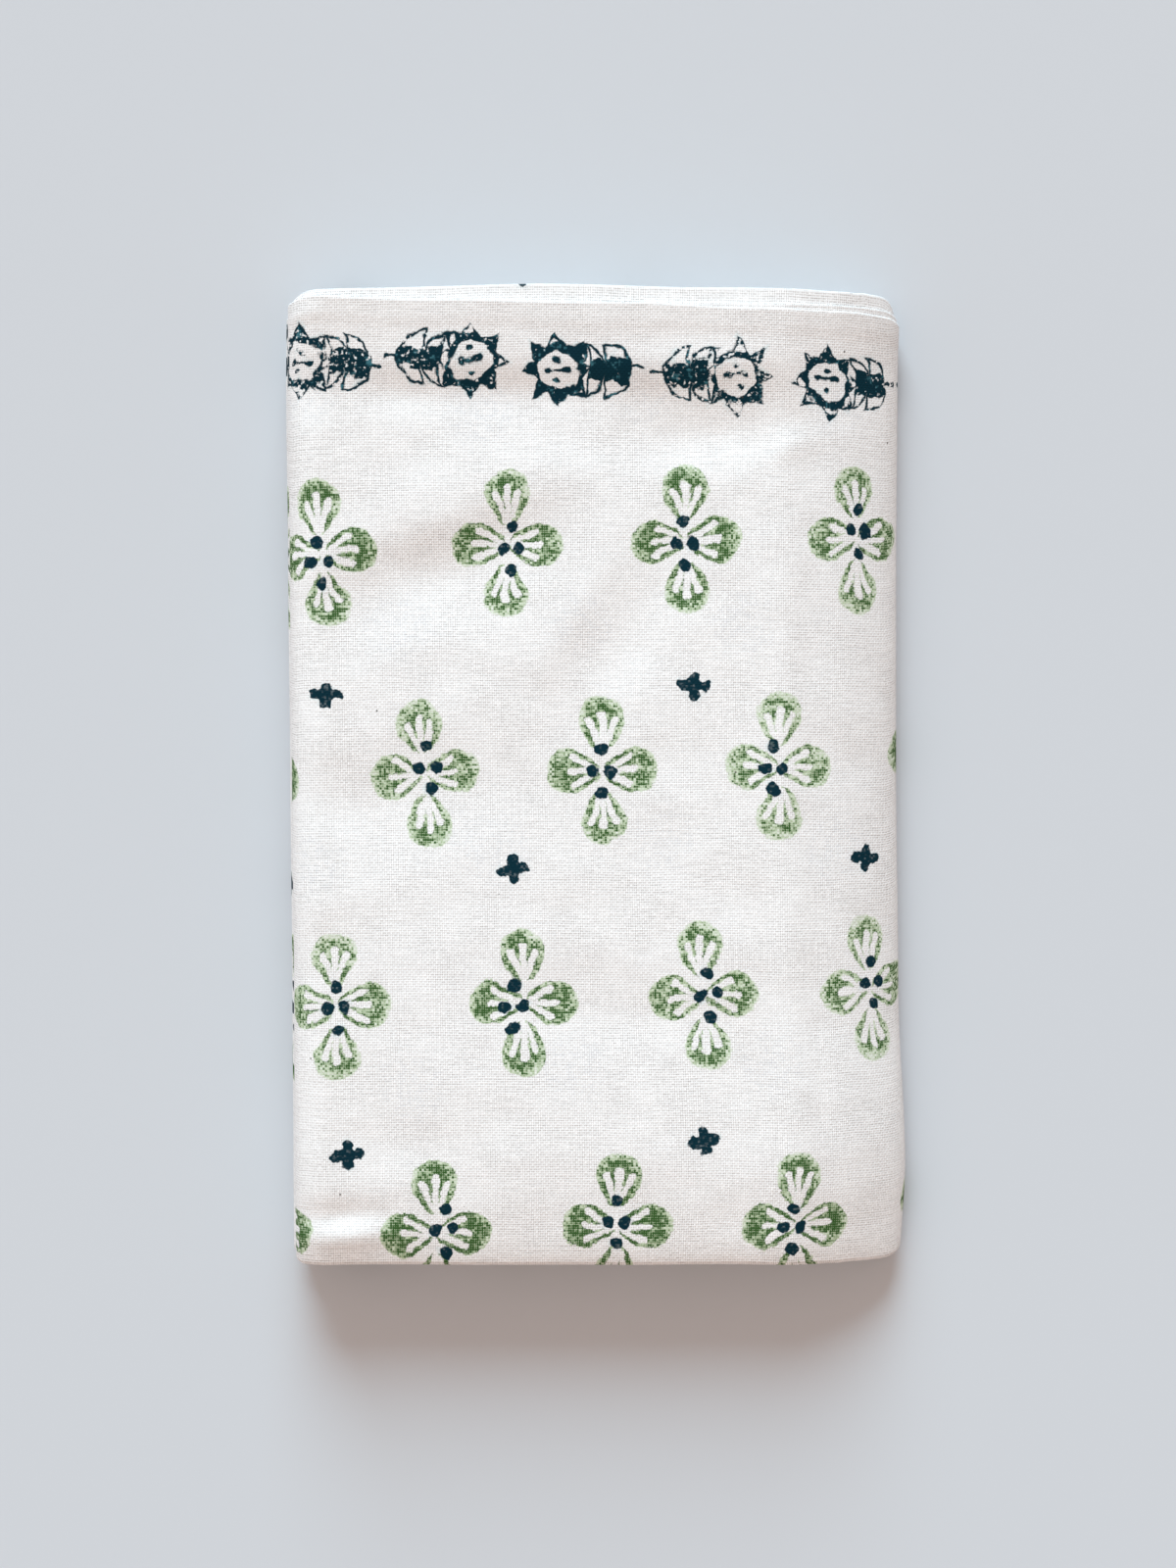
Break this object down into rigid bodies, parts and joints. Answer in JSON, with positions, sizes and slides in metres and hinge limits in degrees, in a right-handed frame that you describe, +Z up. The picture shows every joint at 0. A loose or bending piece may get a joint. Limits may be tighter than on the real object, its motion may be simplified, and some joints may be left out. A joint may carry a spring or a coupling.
{
  "type": "folded tablecloth",
  "caption": "Off-white cotton tablecloth with a block-printed flower field and border, folded into a flat rectangular stack with a soft roll on one side.",
  "frame": {"origin": "middle of the bounding box on the surface it lies on", "axes": "+X towards the rolled right-hand fold, +Y from the front folds to the back edges, +Z up"},
  "size_m": [0.2392, 0.3747, 0.0339],
  "materials": {
    "cotton": "matte plain-weave cotton with a green and teal block print"
  },
  "bodies": {
    "root": {"tablecloth": "cotton"}
  },
  "joints": []
}
